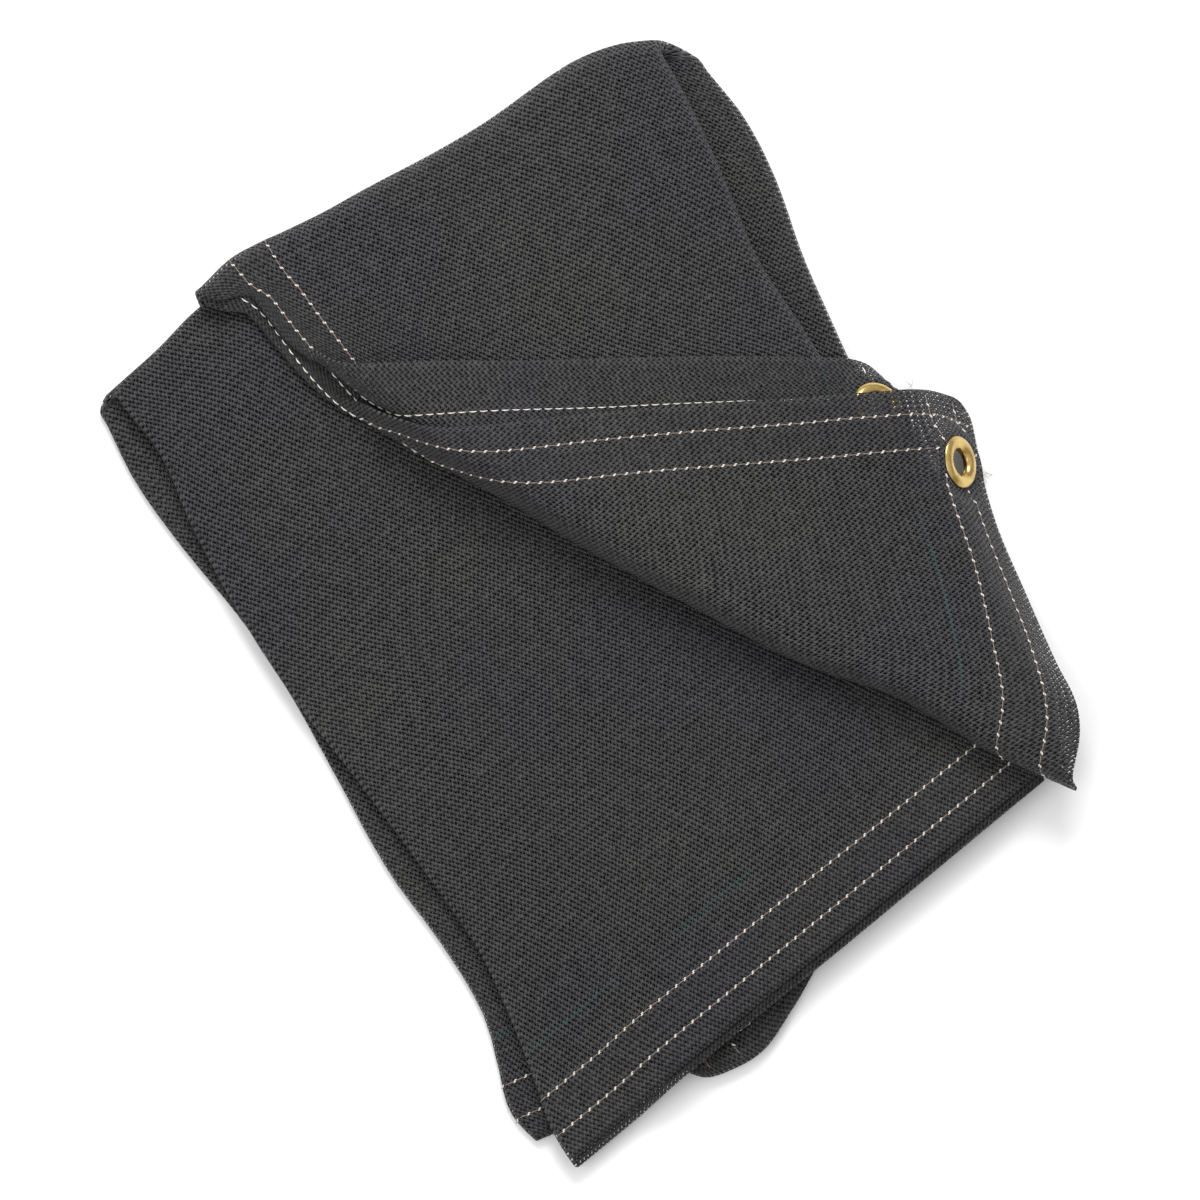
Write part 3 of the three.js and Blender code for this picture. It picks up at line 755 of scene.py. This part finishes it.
def knit_material():
    """Warp-knitted mesh: offset loops with a small opening between each four."""
    shader = Shader("knitted_mesh", Roughness=0.62, Specular_IOR_Level=0.35,
                    Sheen_Weight=0.1, Sheen_Roughness=0.4)
    uv = shader.node("ShaderNodeUVMap", {"uv_map": "cloth"})
    across = shader.node("ShaderNodeSeparateXYZ", None, {"Vector": uv}, X_OUTPUT) * UV_TO_MM
    along = shader.node("ShaderNodeSeparateXYZ", None, {"Vector": uv}, Y_OUTPUT) * UV_TO_MM
    hem = hem_mask(across, along)

    drift = shader.noise(uv, DRIFT["scale"], 1.0)
    slack = shader.noise(uv, SLACK["scale"], 1.0) - NOISE_MIDDLE
    grain = shader.noise(uv, GRAIN["scale"], 1.0) - NOISE_MIDDLE
    u = across + (drift - NOISE_MIDDLE) * DRIFT["across"] + slack * SLACK["across"]
    u = (u + grain * GRAIN["across"]) * (2 * math.pi / LOOP_PITCH)
    v = along + (drift - NOISE_MIDDLE) * DRIFT["along"] - slack * SLACK["along"]
    v = v * (2 * math.pi / COURSE_PITCH)
    arch = (u + ARCH["phase"]).sin() * ARCH["height"]
    sway = (v * SWAY["turns"]).sin() * SWAY["width"]
    loops = (u + sway).cos() * (v + arch).cos()
    fibre = ((u - v * FIBRE["slant"]) * FIBRE["turns"]).sin()
    fibre = fibre * (FIBRE["height"] - hem * FIBRE["height"])
    height = loops + fibre + grain * GRAIN["height"] + slack * SLACK["height"]
    yarn = height.ramp(*YARN)
    opening = (height + hem * HEM_CLOSES).ramp(*OPENING)

    patches = shader.noise(uv, PATCH_SCALE, 3.0).ramp(*PATCH_RANGE)
    # Painted shade in the hollows between the loops and a painted highlight on their tops
    shaded_hollows = shader.mix(patches, *SHADED_HOLLOW_COLOURS)
    light = shader.mix(patches, *LIT_TOP_COLOURS)
    uneven = grain * GRAIN["light"] + slack * SLACK["light"] - hem * HEM_DARKENS
    cloth = shader.mix(yarn * (uneven + TOP_HIGHLIGHT_SHARE), shaded_hollows, light)
    cloth = shader.mix(tracer(along, shader, uv), cloth, TRACER_COLOUR)
    shader.feed("Base Color", cloth)
    shader.feed("Alpha", opening)
    shader.feed("Roughness", 0.82 - yarn * 0.24)
    shader.bump(height, distance=0.0007, strength=0.85)
    return shader.material


def hem_mask(across, along):
    """1 on the turned hems, as an expression of the shader."""
    inside = (across - HEM_WIDE).math("MINIMUM", SHEET_WIDTH - HEM_NARROW - across)
    inside = inside.math("MINIMUM", along - HEM_NARROW)
    inside = inside.math("MINIMUM", SHEET_LENGTH - HEM_NARROW - along)
    return 1.0 - inside.ramp(-HEM_STEP_HALF, HEM_STEP_HALF)


def tracer(along, shader, uv):
    """The faint teal tracer yarn, inside the hem of both length ends, not quite straight."""
    wander = shader.noise(uv, TRACER_WANDER["scale"], 0.0) - NOISE_MIDDLE
    wander = wander * TRACER_WANDER["width"]
    first = (along - TRACER_ALONG + wander).absolute()
    second = (along - (SHEET_LENGTH - TRACER_ALONG) + wander).absolute()
    line = 1.0 - first.math("MINIMUM", second).ramp(*TRACER_EDGE)
    fades = shader.noise(uv, TRACER_FADES["scale"], 1.0)
    fades = fades.ramp(TRACER_FADES["from"], TRACER_FADES["to"])
    return line * fades * TRACER_FADES["share"]


def thread_material(name, base, shade):
    shader = Shader(name, Roughness=0.55)
    where = shader.node("ShaderNodeTexCoord", output=OBJECT_COORDINATES)
    fibre = shader.noise(where, scale=1400.0)
    shader.feed("Base Color", shader.mix(fibre.ramp(0.3, 0.7), shade, base))
    shader.bump(fibre, distance=0.0002, strength=0.5)
    return shader.material


def brass_material():
    shader = Shader("brass", Metallic=1.0, Roughness=0.2)
    where = shader.node("ShaderNodeTexCoord", output=OBJECT_COORDINATES)
    tarnish = shader.noise(where, scale=160.0, detail=3.0)
    scratch = shader.noise(where, scale=900.0)
    fresh = colour(0.62, 0.45, 0.17)
    old = colour(0.42, 0.28, 0.09)
    shader.feed("Base Color", shader.mix(tarnish.ramp(0.4, 0.75), fresh, old))
    shader.feed("Roughness", tarnish * 0.2 + 0.14 + scratch * 0.05)
    shader.bump(scratch, distance=0.0001, strength=0.25)
    return shader.material


def floor_material():
    shader = Shader("pale_floor", Roughness=0.9)
    where = shader.node("ShaderNodeTexCoord", output=OBJECT_COORDINATES)
    grain = shader.noise(where, scale=30.0)
    pale = shader.mix(grain, colour(0.90, 0.90, 0.90), colour(0.92, 0.92, 0.92))
    shader.feed("Base Color", pale)
    return shader.material


# Meshes


def finish_mesh(bm, name, material, smooth_faces=True):
    mesh = bpy.data.meshes.new(name)
    bm.to_mesh(mesh)
    bm.free()
    mesh.materials.append(material)
    if smooth_faces:
        mesh.polygons.foreach_set("use_smooth", [True] * len(mesh.polygons))
    piece = bpy.data.objects.new(name, mesh)
    bpy.context.scene.collection.objects.link(piece)
    return piece


def mesh_lines(*runs):
    """Places of the cloth's mesh lines. Each run states its end and about its step."""
    start, lines = 0.0, []
    for end, step in runs:
        count = max(int(round((end - start) / step)), 1)
        lines.append(np.linspace(start, end, count + 1)[:-1])
        start = end
    return np.concatenate([*lines, [start]])


# The mesh is finer at the folds, in a strip along the edges that holds the hems, and where
# the corner is turned back.
EDGE_STRIP = 60.0
FINE_ALONG_END = 400.0
SPINE_HALF = (LAYERS_EACH_SIDE - 0.5) * LAYER_PITCH * math.pi / 2

ACROSS_LINES = mesh_lines(
    (EDGE_STRIP, 3.5),
    (OUTER_FOLD - OUTER_HALF, 4.6),
    (OUTER_FOLD + OUTER_HALF, 1.6),
    (LEFT_FOLD - INNER_HALF, 11.0),
    (LEFT_FOLD + INNER_HALF, 0.7),
    (INNER_FOLD - INNER_HALF, 7.0),
    (INNER_FOLD + INNER_HALF, 0.7),
    (SHEET_WIDTH - EDGE_STRIP, 4.6),
    (SHEET_WIDTH, 3.5),
)
ALONG_LINES = mesh_lines(
    (EDGE_STRIP, 3.5),
    (FINE_ALONG_END, 4.8),
    (SPINE_ALONG - SPINE_HALF, 5.0),
    (SPINE_ALONG + SPINE_HALF, 2.2),
    (SHEET_LENGTH - EDGE_STRIP, 12.0),
    (SHEET_LENGTH, 6.0),
)

# Heights of the slow and the quick waves of the cloth. Their lengths, in rumple, have no
# common measure, so that no pattern shows.
SLOW_RUMPLE = 0.28
QUICK_RUMPLE = 0.10


def hem_share(across, along):
    """1 on the turned hem, 0 on the single cloth."""
    inside = np.minimum.reduce([
        across - HEM_WIDE,
        SHEET_WIDTH - across - HEM_NARROW,
        along - HEM_NARROW,
        SHEET_LENGTH - along - HEM_NARROW,
    ])
    return 1 - smooth((inside + HEM_STEP_HALF) / (2 * HEM_STEP_HALF))


def rumple(across, along):
    """Soft unevenness of the cloth, along its own normal, in millimetres."""
    slow = np.sin(across / 31 + 1.3 * np.sin(along / 83)) * np.sin(along / 37 + 0.8)
    quick = np.sin(across / 11.5 + along / 17 + 2 * np.sin(along / 61))
    quick = quick * np.sin(along / 13 - across / 29)
    return SLOW_RUMPLE * slow + QUICK_RUMPLE * quick


def add_cloth_uv(mesh, across, along):
    """A UV map that holds each corner's place on the flat cloth, in metres."""
    corner_vertex = np.empty(len(mesh.loops), int)
    mesh.loops.foreach_get("vertex_index", corner_vertex)
    uv = mesh.uv_layers.new(name="cloth")
    pairs = np.column_stack([across, along])[corner_vertex] * MM
    uv.data.foreach_set("uv", pairs.ravel())


def add_thickness(cloth, across, along):
    """Thickness to both sides of the middle surface, whole on the hems and less elsewhere."""
    hem = cloth.vertex_groups.new(name="hem")
    weight = hem_share(across, along)
    for index in np.flatnonzero(weight > 0.001):
        hem.add([int(index)], float(weight[index]), "REPLACE")
    solid = cloth.modifiers.new("thickness", "SOLIDIFY")
    solid.thickness = CLOTH_THICKNESS * MM
    solid.offset = 0.0
    solid.vertex_group = "hem"
    solid.thickness_vertex_group = SINGLE_CLOTH_SHARE


def make_cloth(material):
    bm = bmesh.new()
    last_column, last_row = len(ACROSS_LINES) - 1, len(ALONG_LINES) - 1
    bmesh.ops.create_grid(bm, x_segments=last_column, y_segments=last_row, size=1.0)
    flat = np.array([vertex.co[:2] for vertex in bm.verts])
    column = np.rint((flat[:, 0] + 1) / 2 * last_column).astype(int)
    row = np.rint((flat[:, 1] + 1) / 2 * last_row).astype(int)
    across, along = ACROSS_LINES[column], ALONG_LINES[row]
    normal = cloth_normal(across, along)
    place = cloth_point(across, along) + normal * rows_of(rumple(across, along))
    for vertex, co in zip(bm.verts, place * MM):
        vertex.co = co
    keep = clear_of_grommets(across, along, CUT_RADIUS)
    cut = [vertex for vertex, kept in zip(bm.verts, keep) if not kept]
    bmesh.ops.delete(bm, geom=cut, context="VERTS")
    across, along = across[keep], along[keep]
    cloth = finish_mesh(bm, "mesh_cloth", material)
    add_cloth_uv(cloth.data, across, along)
    add_thickness(cloth, across, along)
    return cloth


def pellet(bm, size, subdivisions=1, place=Matrix.Identity(4)):
    """A rounded piece of thread, of the given length, width and height."""
    matrix = place @ Matrix.Diagonal((*size, 1))
    bmesh.ops.create_icosphere(bm, subdivisions=subdivisions, radius=0.5, matrix=matrix)


def thin_run(bm):
    """The thread's thin run between two stitches."""
    pellet(bm, RUN_SIZE)


def twin_turns(bm):
    """The two thread turns that show at a stitch's hole, side by side and askew."""
    for way in (1, -1):
        spot = Matrix.Translation((TURN_OFFSET[0] * way, TURN_OFFSET[1] * way, 0.0))
        pellet(bm, TURN_SIZE, place=spot @ Matrix.Rotation(TURN_ANGLE, 4, "Z"))


def bowed_dash(bm):
    """A thread run between two holes, bowed a little to one side."""
    pellet(bm, DASH_SIZE, subdivisions=2)
    for vertex in bm.verts:
        vertex.co.y += DASH_ASIDE - DASH_BOW * vertex.co.x ** 2


def hair(bm):
    """A loose thread end, curved."""
    pellet(bm, HAIR_SIZE, subdivisions=2)
    for vertex in bm.verts:
        vertex.co.y += HAIR_BOW * vertex.co.x ** 2
        vertex.co.x += HAIR_OUT


def make_frays(material):
    """Thread ends that stick out of the cloth's edge, each turned by its own angle."""
    places = []
    for across, along, angle in FRAYS:
        spot = np.array([across]), np.array([along])
        forward, sideways, up, centre = row_places(*spot, "along", 1.0, FRAY_LIFT)[0]
        at_length_end = along < SHEET_WIDTH - across
        outward = -forward if at_length_end else -sideways
        level = Vector(unit(outward * (1, 1, 0)))
        turned = Matrix.Rotation(math.radians(angle), 3, Vector(up)) @ level
        places.append([turned, Vector(up).cross(turned), up, centre])
    return copies("frays", hair, np.array(places), material)


def copies(name, shape, places, material):
    """One mesh of a small shape repeated at every place, a frame of axes and centre in mm."""
    bm = bmesh.new()
    shape(bm)
    pattern = bpy.data.meshes.new(name + "_pattern")
    bm.to_mesh(pattern)
    bm.free()
    corners = np.array([vertex.co for vertex in pattern.vertices])
    bm = bmesh.new()
    for _ in places:
        bm.from_mesh(pattern)
    bpy.data.meshes.remove(pattern)
    piece = finish_mesh(bm, name, material)
    spots = places[:, None, 3] + np.einsum("vk,pkc->pvc", corners, places[:, :3])
    piece.data.vertices.foreach_set("co", (spots * MM).ravel())
    return piece


def row_places(across, along, direction, side, lift):
    """Axes and centre of each stitch of a row. The side is 1 for one face, -1 for the other."""
    normal = cloth_normal(across, along)
    height = rumple(across, along) + side * lift
    start = cloth_point(across, along)
    centre = start + normal * rows_of(height)
    ahead = (1.0, 0.0) if direction == "across" else (0.0, 1.0)
    forward = cloth_point(across + ahead[0], along + ahead[1]) - start
    forward /= np.linalg.norm(forward, axis=1, keepdims=True)
    up = normal * side
    sideways = np.cross(up, forward)
    return np.stack([forward, sideways, up, centre], axis=1)


def make_stitches(name, shape, material, side, lift, shift=0.0):
    """Every stitch of both hem rows, on one face of the cloth, as one mesh."""
    places = []
    for direction, fixed, ends in hem_rows():
        across, along = row_points(direction, fixed, ends, shift)
        clear = clear_of_grommets(across, along, STITCH_CLEAR)
        places.append(row_places(across[clear], along[clear], direction, side, lift))
    return copies(name, shape, np.concatenate(places), material)


# The ring's half section: distance from the axis, and height over the cloth's middle
RING_SECTION = (
    (6.35, -1.5), (6.35, -0.2), (6.6, 0.9), (7.2, 1.9), (8.2, 2.6), (9.6, 2.95), (11.0, 2.8),
    (12.2, 2.3), (13.1, 1.6), (13.5, 1.0), (13.1, 0.85), (7.5, 0.85), (7.5, -0.9), (13.1, -0.9),
    (13.5, -1.1), (13.2, -1.5), (11.5, -1.9), (9.0, -2.05), (7.2, -1.95),
)


def make_grommet(seat, material):
    bm = bmesh.new()
    ring = [bm.verts.new((x, 0.0, z)) for x, z in RING_SECTION]
    edges = [bm.edges.new((a, b)) for a, b in zip(ring, ring[1:] + ring[:1])]
    bmesh.ops.spin(
        bm, geom=ring + edges, cent=(0, 0, 0), axis=(0, 0, 1), dvec=(0, 0, 0),
        angle=2 * math.pi, steps=RING_STEPS, use_merge=True, use_duplicate=False,
    )
    bmesh.ops.remove_doubles(bm, verts=bm.verts, dist=0.001)
    bmesh.ops.recalc_face_normals(bm, faces=bm.faces)
    side = -1.0 if seat.name == "grommet_back_corner" else 1.0
    axes = Matrix((seat.across_axis, seat.along_axis * side, seat.normal * side)).transposed()
    place = axes.to_4x4()
    place.translation = Vector(seat.centre)
    bmesh.ops.transform(bm, matrix=Matrix.Diagonal((MM, MM, MM, 1)) @ place, verts=bm.verts)
    return finish_mesh(bm, "brass_" + seat.name, material)


# The floor lies a little below the plane that the packet rests on.
FLOOR_HALF = 3.0
FLOOR_DROP = 0.0002


def make_floor(material):
    bm = bmesh.new()
    bmesh.ops.create_grid(bm, x_segments=2, y_segments=2, size=FLOOR_HALF)
    floor = finish_mesh(bm, "floor", material, smooth_faces=False)
    floor.data.transform(Matrix.Translation((0, 0, -FLOOR_DROP)))


# Camera and light

PHOTO_AZIMUTH = -31.5
PHOTO_ELEVATION = 75.0
PHOTO_PIXELS = 1200
PIXEL_SIZE = 0.5 * MM
CAMERA_DISTANCE = 6.0
CAMERA_REACH = 20.0
SENSOR_WIDTH = 36.0

HORIZON_COLOUR = colour(0.30, 0.30, 0.31)
OVERHEAD_COLOUR = colour(0.92, 0.92, 0.92)
OVERHEAD_FROM = 0.9


def aim(thing, target):
    thing.rotation_euler = (Vector(target) - thing.location).to_track_quat("-Z", "Y").to_euler()


def make_camera():
    azimuth, elevation = math.radians(PHOTO_AZIMUTH), math.radians(PHOTO_ELEVATION)
    back = Vector((
        math.sin(azimuth) * math.cos(elevation),
        -math.cos(azimuth) * math.cos(elevation),
        math.sin(elevation),
    ))
    target = Vector((-CENTRE[0] * MM, -CENTRE[1] * MM, 0.0))
    data = bpy.data.cameras.new("camera")
    data.sensor_width = SENSOR_WIDTH
    data.lens = SENSOR_WIDTH * CAMERA_DISTANCE / (PHOTO_PIXELS * PIXEL_SIZE)
    data.clip_end = CAMERA_REACH
    camera = bpy.data.objects.new("camera", data)
    bpy.context.scene.collection.objects.link(camera)
    camera.location = target + back * CAMERA_DISTANCE
    aim(camera, target)
    bpy.context.scene.camera = camera


def add_area_light(name, place, size, power):
    data = bpy.data.lights.new(name, "AREA")
    data.shape = "SQUARE"
    data.size = size
    data.energy = power
    light = bpy.data.objects.new(name, data)
    bpy.context.scene.collection.objects.link(light)
    light.location = place
    aim(light, (0, 0, 0))


def make_light():
    """A white room, a soft key light from the picture's top and a weaker fill from its left."""
    world = bpy.data.worlds.new("studio")
    world.use_nodes = True
    tree = world.node_tree
    background = tree.nodes["Background"]
    where = tree.nodes.new("ShaderNodeTexCoord")
    split = tree.nodes.new("ShaderNodeSeparateXYZ")
    ramp = tree.nodes.new("ShaderNodeValToRGB")
    ramp.color_ramp.elements[0].color = HORIZON_COLOUR
    ramp.color_ramp.elements[1].color = OVERHEAD_COLOUR
    ramp.color_ramp.elements[1].position = OVERHEAD_FROM
    tree.links.new(where.outputs["Generated"], split.inputs[0])
    tree.links.new(split.outputs["Z"], ramp.inputs["Fac"])
    tree.links.new(ramp.outputs["Color"], background.inputs["Color"])
    bpy.context.scene.world = world
    add_area_light("key", place=(0.8, 1.3, 1.5), size=1.2, power=38.0)
    add_area_light("fill", place=(-1.5, -0.3, 1.7), size=1.6, power=16.0)
    bpy.context.scene.view_settings.view_transform = "Standard"


# The tarp

make_camera()
make_light()
make_floor(floor_material())

brass = brass_material()
for seat in SEATS:
    ring = make_grommet(seat, brass)
    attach(ring, "root")
    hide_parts(seat.name)

cloth = make_cloth(knit_material())
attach(cloth, "root")
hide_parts("tarp_cloth")

white = thread_material("white_thread", colour(0.85, 0.82, 0.76), colour(0.62, 0.58, 0.52))
brown = thread_material("brown_thread", colour(0.30, 0.22, 0.18), colour(0.17, 0.12, 0.10))
stitches = [
    make_stitches("top_stitches", twin_turns, white, 1.0, STITCH_LIFT),
    make_stitches("top_thread", thin_run, brown, 1.0, THREAD_LIFT, shift=0.5),
    make_stitches("under_stitches", bowed_dash, white, -1.0, STITCH_LIFT),
    make_frays(white),
]
for piece in stitches:
    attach(piece, "root")
